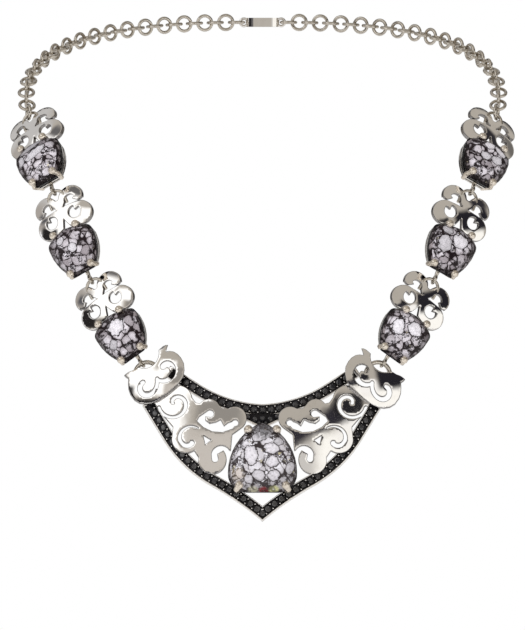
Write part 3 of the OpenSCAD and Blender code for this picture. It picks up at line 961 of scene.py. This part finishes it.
shieldStone = {
    "half": [(0, -22.2, 10.1, 90, 66), (4.9, -15.1, 1.6, 60, 5), (-7.5, -16.1, 14.05, 0, -35),
             (2.7, -24.4, 0.8, -40, -87)],
    "centre": (0, -18.6),
    "rows": [(1, 2.8), (1, 3.2), (0.92, 4.1), (0.74, 5.1), (0.48, 5.68)],  # share of the outline, height
    "culet": (0.62, -0.5),
    "turns": 16,
}
backForm = {
    "share": 0.9,  # of the outline, where the dark back starts
    "drop": 0.1,  # and how far under the lowest ring
}


# A cut stone: rings of facets turned by half a step from one to the next, over a plain dark back; the
# girdle, the lowest crown facets and the back take darker finishes that paint shade
def cutStone(stone):
    loop = evenly(bothSides(outline(stone["half"])), 0.05)
    n, rows = stone["turns"], stone["rows"]
    centre = np.array(stone["centre"])
    quads = ringQuads(n)
    made = Shape()

    def ring(share, w, shift=0.0):
        at = [loop[int((i + shift) * len(loop) / n) % len(loop)] for i in range(n)]
        return [(*(centre + share * (p - centre)), w) for p in at]

    low, girdle = ring(*rows[0]), ring(*rows[1])
    under = ring(backForm["share"], rows[0][1] - backForm["drop"])
    made.add(ring(*stone["culet"]) + under, quads + [tuple(reversed(range(n)))], 2)
    made.add(under + low, quads, 2)
    made.add(low + girdle, quads, 1)
    last = girdle
    for k, (share, w) in enumerate(rows[2:]):
        following = ring(share, w, 0.5 * ((k + 1) % 2))
        faces = []
        for i in range(n):
            j = (i + 1) % n
            if k % 2 == 0:
                faces += [(i, j, n + i), (j, n + j, n + i)]
            else:
                faces += [(i, j, n + j), (i, n + j, n + i)]
        made.add(last + following, faces, 1 if k == 0 else 0)
        last = following
    made.add(last, [tuple(range(n))])
    return made


plateMesh = makeScrollPlate()
wallMesh = wallShape(stationWall)
wireMesh = makeStationWires()
stoneMesh = cutStone(shieldStone)
for side, word, letter in ((1, "Right", "r"), (-1, "Left", "l")):
    for k in range(3):
        number = 3 - k
        label = word + str(number)
        place = stationFrame(k, side)
        node = f"station_{letter}{number}"
        # the plates' sides and the setting walls take the darker finishes, which paint shade
        for name, made, materials in (
                ("scrollPlate", plateMesh, [plateSilver, shadedSideSilver]),
                ("setting", wallMesh, [railSilver, shadeBlack, shadeBlack]),
                ("prongs", wireMesh, [wireSilver, prongSilver, shadedSideSilver])):
            piece = makePiece(name + label, made, place, materials, "silver", [node])
            if name == "setting":
                addWallBody(piece, stationWall["thick"])
        makePiece("crystal" + label, stoneMesh, place, [stoneFaces(label, place), shadedCrystalRim, shadedCrystalRim],
                  "crystal", [f"stone_{letter}{number}"], flatShade=True)
print("stations made")


# Centre plaque

def plaquePiece(name, made, materials, **look):
    return makePiece(name, made, plaqueFrame, materials, "silver", ["centre_plaque"], **look)


def bentPlaque(x, y, z):
    return np.stack([x, y, np.sqrt((bend + z) ** 2 - x ** 2) - bend], 1)


band = {
    "width": 3.0, "thick": 1.6, "rail": 0.32, "innerRail": 0.26, "edge": 0.14,
    "lowerStart": 40.7, "lowerRows": [(16.3, -10), (18.4, 29.4), (11, 0)],
    "upperStart": 3.0, "upperRows": [(17.8, 32), (9.2, 0)], "upperHeight": 31.2,
    "lowerKeep": 0.985, "upperKeep": 0.95,  # share of its length that each groove has
    "gusset": [(-7.5, 28.6), (-1.6, 25.5), (1.6, 25.5), (7.5, 28.6)], "gussetRail": 0.416,
    "grooveDepth": 1.05, "trayThick": 0.5, "trayEdge": 0.02, "trayScale": 0.999,
}


def trayShape(x, y, z):
    return bentPlaque(x, y, z - band["grooveDepth"])


def makeBand():
    lower = runAlong((0, 0), band["lowerStart"], band["lowerRows"])
    upper = runAlong((0, band["upperHeight"]), band["upperStart"], band["upperRows"])
    width, rail, gusset = band["width"], band["rail"], np.array(band["gusset"], float)
    inner = width - band["innerRail"]
    whole = [bandStrip(lower, 0, width), bandStrip(upper, 0, -width), gusset]
    innerGusset = gusset + np.array([(1, 0), (0.5, 1), (-0.5, 1), (-1, 0)]) * band["gussetRail"]
    grooves = [bandStrip(lower, rail, inner, band["lowerKeep"]),
               bandStrip(upper, -rail, -inner, band["upperKeep"]), innerGusset]
    rails = cutPlate(joinedLoops(whole, grooves), band["thick"], band["edge"], bentPlaque, spacing=0.8)
    plaquePiece("paveRails", rails, [plateSilver])
    floor = joinedLoops([loop * [band["trayScale"], 1] for loop in whole])
    tray = cutPlate(floor, band["trayThick"], band["trayEdge"], trayShape, spacing=1.6)
    # the tray under the stones is near black: painted shade
    plaquePiece("paveTray", tray, [shadeBlack])
    return lower, upper


grains = {
    "lower": (2.27, 2.6, 3.2, -1),  # pitch, length left over, start, and number of the first gap
    "upper": (2.195, 1.6, 0.0, 0),
    "radius": 0.23,
    "aside": 0.72,  # from the middle of the band
    "profile": [(-0.6, 1), (-0.2, 1), (-0.06, 0.8), (0.02, 0.35)],  # height and share of the radius
}


def grainSpots(middle, pitch, spare, start, first):
    count = math.floor((runLength(middle) - spare) / pitch)
    return [pointAt(middle, start + (i + 0.5) * pitch) for i in range(first, count)]


# Small raised grains in pairs between the pave stones
def makeGrains(lower, upper):
    made = Shape()
    half, r, aside = band["width"] / 2, grains["radius"], grains["aside"]
    spots = grainSpots(shiftedRun(lower, half), *grains["lower"])
    spots += grainSpots(shiftedRun(upper, -half), *grains["upper"])
    for x, y, h in spots:
        for side in (-1, 1):
            for off in (-aside, aside):
                cx, cy = side * (x - off * sinOf(h)), y + off * cosOf(h)
                top = math.sqrt(bend ** 2 - cx ** 2) - bend
                path = [(cx, cy, top + up) for up, share in grains["profile"]]
                made.add(*tube(path, [r * share for up, share in grains["profile"]], sides=10))
    plaquePiece("paveGrains", made, [plateSilver], sharpAngle=80)


gussetStones = {
    "stones": [(-3.9, 27.9, 0.75), (-2.0, 27.2, 0.75), (2.0, 27.2, 0.75), (3.9, 27.9, 0.75),
               (-0.9, 26.2, 0.5), (0.9, 26.2, 0.5)],
    "profile": [(0.9, -0.5), (1, -0.1), (0.78, 0.1), (0.5, 0.22)],  # share of the radius and height
}


# Small brilliant stones that fill the gusset under the band
def makeGussetStones():
    made = Shape()
    for x, y, r in gussetStones["stones"]:
        verts, faces = [], []
        for i, (share, w) in enumerate(gussetStones["profile"]):
            verts += [(px, py, w) for px, py in arcPoints(x, y, r * share, 0, 315, 45)]
            faces += ringQuads(8, 8 * (i - 1)) if i else []
        made.add(verts, faces + [tuple(range(24, 32)), tuple(reversed(range(8)))])
    makePiece("gussetStones", made, plaqueFrame, [blackStone], "black_stone", [], flatShade=True)


panel = {
    "edge": [(22.5, 32.5, 4.1, 45, 172), (17.5, 31.7), (14.1, 29.6, 2.95, 38, 152), (10.6, 29.9),
             (7.3, 27.2, 3.15, 58, 238), (7.9, 22.9), (8.3, 18.7), (10.9, 17.6, 2.5, 150, 10),
             (12.45, 16.6, 0.8, 0, -180), (11.9, 17.9), (13.15, 16.4, 3.75, 140, 372),
             (20.0, 22.2, 3.85, 238, 360), (23.5, 25.5), (24.9, 27.2), (27.0, 29.8), (29.0, 33.2),
             (28.0, 36.0)],
    "slots": [(22.9, 31.7, 0.65, 4.35, 25, 325, 1.1, 0.8, 0.8),
              (19.2, 22.2, 1.35, 3.5, 245, 245, 1.5, 0.35, 0.8)],
    "window": [(7.2, 26.0, 0.85, 30, 280), (7.9, 24.5), (10.6, 23.6), (13.2, 23.9), (15.5, 25.1),
               (17.2, 26.8), (16.6, 27.9), (13.8, 28.6, 1.0, 45, 250), (15.0, 27.9), (15.0, 26.9),
               (13.9, 26.0), (12.2, 26.3), (11.0, 26.9), (10.1, 25.2), (9.1, 26.0)],
    "notch": [(13.5, 21.6), (15.5, 22.9), (15.0, 20.5)],
    "front": 1.35, "middle": 30.5, "dome": 110.0, "thick": 1.25, "soft": 0.16,
}


def panelShape(x, y, z):
    return bentPlaque(x, y, z + panel["front"] - (y - panel["middle"]) ** 2 / (2 * panel["dome"]))


def makePanels():
    holes = [spiralSlot(*slot) for slot in panel["slots"]]
    holes += [closedLoop(outline(panel["window"])), np.array(panel["notch"], float)]
    loops = joinedLoops([closedLoop(outline(panel["edge"]))], holes)
    for side, word in ((1, "Right"), (-1, "Left")):
        mirrored = [l * [side, 1] for l in loops]
        made = cutPlate(mirrored, panel["thick"], panel["soft"], panelShape, sideSlot=1)
        plaquePiece("scrollPanel" + word, made, [plateSilver, shadedSideSilver])


endScroll = {
    "upper": [(1.1, 1.4, 4.1, -90, -25), (5.2, -0.3), (6.5, -0.25), (7.3, -0.45), (7.85, -0.85),
              (7.1, -1.35), (6.3, -2.0), (7.3, -2.6), (8.1, -3.4), (8.7, -4.7), (8.9, -6.2), (8.7, -7.9),
              (7.8, -9.5), (6.4, -10.8), (4.6, -11.4), (0, -11.5)],
    "lower": [(-1.1, 1.4, 4.1, -90, -25), (4.4, 0.0), (5.3, 0.4), (6.1, 0.6), (7.1, 0.65), (7.0, -0.1),
              (6.7, -0.9), (7.5, -1.9), (8.3, -3.2), (8.7, -4.8), (8.6, -6.75), (7.9, -8.4), (6.7, -9.7),
              (5.2, -10.7), (3.3, -11.3), (0, -11.5)],
    "slots": [(4.2, -5.9, 1.3, 4.15, 100, -272, 1.3, 1.0, 2.2, 0.3),
              (-3.6, -6.0, 1.2, 3.7, 75, 268, 1.75, 1.0, 2.0, 0.4)],
    "shift": {"Right": 0.5, "Left": -1.1},
    "turn": -35.4, "squeeze": 0.88,
    "dome": 34.0, "middle": (30, 38.5), "front": -2.0, "tilt": 20.0, "thick": 1.1, "soft": 0.16,
}


def onHook(loop, shift):
    turn, squeeze = endScroll["turn"], endScroll["squeeze"]
    loop = np.asarray(loop) + [shift, 0]
    return np.array([(hookX + squeeze * (x * cosOf(turn) - y * sinOf(turn)),
                      hookH + x * sinOf(turn) + y * cosOf(turn)) for x, y in loop])


def makeEndScrolls():
    r, tilt = endScroll["dome"], endScroll["tilt"]
    midX, midY = endScroll["middle"][0] - r * sinOf(tilt), endScroll["middle"][1]
    midZ = endScroll["front"] - r * cosOf(tilt)
    rim = closedLoop(outline(endScroll["lower"]) + flipped(outline(endScroll["upper"])))
    openings = [spiralSlot(*slot) for slot in endScroll["slots"]]
    for side, word in ((1, "Right"), (-1, "Left")):
        shift = endScroll["shift"][word]
        loops = joinedLoops([onHook(rim, shift)], [onHook(opening, shift) for opening in openings])

        def domed(x, y, z, side=side):
            height = np.sqrt((r + z) ** 2 - (side * x - midX) ** 2 - (y - midY) ** 2)
            return np.stack([x, y, midZ + height], 1)

        mirrored = [l * [side, 1] for l in loops]
        made = cutPlate(mirrored, endScroll["thick"], endScroll["soft"], domed, sideSlot=1)
        plaquePiece("endScroll" + word, made, [plateSilver, shadedSideSilver])


centreWall = {
    "half": [(0, 22.67, 3, 90, 61.4), (-5.6, 12.4, 14.7, 61.4, 0), (4.1, 12.0, 5, -10, -84)],
    "rows": (-2.0, -1.2, -0.3, 0.9, 1.8, 2.3),
    "window": (11, 21.5),
    "thick": 0.7,
    "middle": 15.0,
    "taper": (0.1, 0.1),
}
centreProngs = {
    "places": [(4.0, 23.9, 3.7, 23.5, 2), (6.7, 7.9, 6.1, 8.5, 2)],
    "low": -0.1, "high": 4.85, "rod": 0.92, "ball": 1.1,
    "middle": 15.0, "taper": (0.05, 0.05),
}
plaqueArch = {
    "arch": (3.2, 0.6, 1.5),
    "lean": -25, "yaw": 13.0,
}


def makeCentreSetting():
    # the centre setting's walls take the darker finishes: painted shade
    wall = plaquePiece("centreSetting", wallShape(centreWall), [shadedSideSilver, shadeBlack, shadeBlack])
    addWallBody(wall, centreWall["thick"])
    made = Shape()
    addProngs(made, centreProngs)
    for s in (-1, 1):
        place = turnAbout(2, plaqueArch["lean"] * s) @ turnAbout(1, plaqueArch["yaw"] * s)
        place[:3, 3] = [s * hookX, hookH, hookW]
        addArch(made, *plaqueArch["arch"], place)
    plaquePiece("centreProngs", made, [wireSilver, prongSilver, prongSilver])


centreStone = {
    "half": [(0, 22.67, 2.9, 90, 61.4), (-5.6, 12.4, 14.6, 61.4, 0), (4.0, 12.0, 4.95, -10, -84)],
    "centre": (0, 14.0),
    "rows": [(1, 2.4), (1, 2.8), (0.95, 3.6), (0.8, 4.95), (0.54, 5.85)],
    "culet": (0.3, -1.4),
    "turns": 20,
}

lowerRun, upperRun = makeBand()
makeGrains(lowerRun, upperRun)
makeGussetStones()
makePanels()
makeEndScrolls()
makeCentreSetting()
centreFinishes = [crystalCentreFaces, shadedCrystalCentreRim, shadedCrystalRim]
makePiece("crystalCentre", cutStone(centreStone), plaqueFrame, centreFinishes, "crystal", ["centre_stone"],
          flatShade=True)
print("centre plaque made")


# Parts that keep their CAD meshes and get a finish

carriedOver = {
    "pave_stones": blackStone,
    "chain_right": wireSilver,
    "chain_left": wireSilver,
    "clasp": plateSilver,
}
for name, material in carriedOver.items():
    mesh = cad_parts[name].data
    mesh.materials.clear()
    mesh.materials.append(material)
    if name != "pave_stones":
        for polygon in mesh.polygons:
            polygon.use_smooth = True
print("chain, clasp and pave stones finished")


# Studio, in metres

studio = {
    "distance": 6.0,  # camera to the middle depth of the necklace
    "depth": -0.085,
    "aim": -0.0781,  # height of the picture's middle
    "frameHeight": 0.16579,
    "floorHeight": -0.2,
    "floorSize": 0.7,
    "floorTones": ((0.86, 0.86, 0.86), (0.9, 0.9, 0.9)),
    "floorGrain": 60.0,
    "floorRoughness": 0.9,
    "lights": {  # place, aim, size and power
        "keyLight": ((-0.35, -0.75, 0.55), (0, -0.09, -0.08), 0.3, 4.8),
        "fillLight": ((0.5, -0.7, 0.2), (0, -0.09, -0.08), 0.3, 1.2),
        "backLight": ((0.1, 0.8, 0.5), (0, -0.05, -0.05), 0.5, 2),
    },
}


def makeCamera():
    cam = bpy.data.cameras.new("camera")
    cam.lens = cam.sensor_width * studio["distance"] / studio["frameHeight"]
    cam.clip_end = 20
    obj = newObject("camera", cam)
    obj.location = (0, studio["depth"] - studio["distance"], studio["aim"])
    obj.rotation_euler = (math.pi / 2, 0, 0)
    bpy.context.scene.camera = obj


def makeFloor():
    h, s = studio["floorHeight"], studio["floorSize"]
    mesh = bpy.data.meshes.new("floor")
    mesh.from_pydata([(-s, -s, h), (s, -s, h), (s, s, h), (-s, s, h)], [], [(0, 1, 2, 3)])
    material, tree, shader = newMaterial("paleFloor")
    grain = noiseNode(tree, ownPlace(tree), studio["floorGrain"])[0]
    setInputs(tree, shader, {
        "Base Color": mixColour(tree, grain, *studio["floorTones"]), "Roughness": studio["floorRoughness"]})
    mesh.materials.append(material)
    newObject("floor", mesh)


# Cards that the metal mirrors: azimuth to the right, elevation, half width, half height, slope, softness
# and colour
surround = {
    "base": (0.46, 0.425, 0.375),
    "cards": [
        (180, 10, 48, 80, 0, 12, (0.5, 0.49, 0.48)),
        (136, 10, 8, 80, 0, 5, (0.02, 0.02, 0.022)),
        (-138, 0, 8, 60, 0, 5, (0.02, 0.02, 0.022)),
        (-103, 42, 27, 20, 0, 6, (0.55, 0.54, 0.53)),
        (-82, 17, 20, 15, 0, 5, (0.42, 0.39, 0.36)),
        (-60, 40, 20, 9, 0, 5, (1.2, 1.19, 1.17)),
        (-53, 30, 13, 20, 0, 5, (1.25, 1.24, 1.22)),
        (-41, 18, 15, 11, 0, 3, (1.25, 1.24, 1.22)),
        (-15, 10.5, 10, 6.5, 0, 2.5, (0.6, 0.56, 0.515)),
        (-14.5, 25, 7.5, 7.5, 0, 1.8, (0.3, 0.28, 0.255)),
        (-25.5, 32, 9, 6.2, 0, 2, (1.2, 1.19, 1.17)),
        (-54, 55, 14, 6, 0, 4, (0.14, 0.135, 0.135)),
        (-76, 1, 10, 8, 0, 4, (0.95, 0.95, 0.96)),
        (-23, -3.5, 13, 5.5, 0, 2.5, (0.05, 0.05, 0.065)),
        (-65, 4.5, 10, 9, 0, 2.5, (0.02, 0.018, 0.018)),
        (-44, -3, 12, 7, 0, 2.5, (0.02, 0.018, 0.02)),
        (-77, 20, 6, 4, 0, 3, (0.1, 0.1, 0.11)),
        (10, 5, 8, 8, 0, 4, (0.62, 0.6, 0.57)),
        (47, 1.5, 30, 15, 0, 3, (1.05, 1.03, 0.98)),
        (34, 13, 9, 7, 0, 2, (1.0, 0.98, 0.95)),
        (19, 18.5, 15, 2.8, 0.37, 1.5, (0.03, 0.028, 0.036)),
        (29, 23.2, 5.5, 2.8, 0, 1.5, (0.02, 0.019, 0.022)),
        (66, 21.5, 23, 10, 0, 3, (0.018, 0.017, 0.022)),
        (83, 39, 11, 12, 0, 4, (0.03, 0.028, 0.033)),
        (104, 26, 9, 12, 0, 5, (0.16, 0.15, 0.14)),
    ],
}


def makeWorld():
    world = bpy.data.worlds.new("studio")
    bpy.context.scene.world = world
    world.use_nodes = True
    tree = world.node_tree
    tree.nodes.clear()
    x, y, z = addNode(tree, "ShaderNodeSeparateXYZ", {0: ownPlace(tree, "Generated")}).outputs
    toDegrees = 180 / math.pi
    azimuth = times(tree, mathNode(tree, "ARCTAN2", x, times(tree, y, -1.0)), toDegrees)
    elevation = times(tree, mathNode(tree, "ARCSINE", z), toDegrees)
    colour = surround["base"]
    for a, e, halfWidth, halfHeight, slope, soft, tint in surround["cards"]:
        across = mathNode(tree, "WRAP", mathNode(tree, "SUBTRACT", azimuth, a), 180.0, -180.0)
        up = mathNode(tree, "SUBTRACT", mathNode(tree, "SUBTRACT", elevation, e), times(tree, across, slope))
        wide = rangeNode(tree, mathNode(tree, "ABSOLUTE", across), halfWidth + soft, halfWidth - soft)
        high = rangeNode(tree, mathNode(tree, "ABSOLUTE", up), halfHeight + soft, halfHeight - soft)
        colour = mixColour(tree, times(tree, wide, high), colour, tint)
    seen = addNode(tree, "ShaderNodeLightPath").outputs["Is Camera Ray"]
    colour = mixColour(tree, seen, colour, (1.0, 1.0, 1.0))
    background = addNode(tree, "ShaderNodeBackground", {"Color": colour}).outputs[0]
    addNode(tree, "ShaderNodeOutputWorld", {"Surface": background})


def softLight(name, place, aim, size, power):
    light = bpy.data.lights.new(name, "AREA")
    light.shape = "DISK"
    light.size = size
    light.energy = power
    obj = newObject(name, light)
    obj.location = place
    obj.rotation_euler = (Vector(aim) - Vector(place)).to_track_quat("-Z", "Y").to_euler()
    obj.visible_camera = False
    obj.visible_glossy = False


makeCamera()
makeFloor()
makeWorld()
for name, values in studio["lights"].items():
    softLight(name, *values)
bpy.context.scene.view_settings.view_transform = "Standard"
print("studio made")
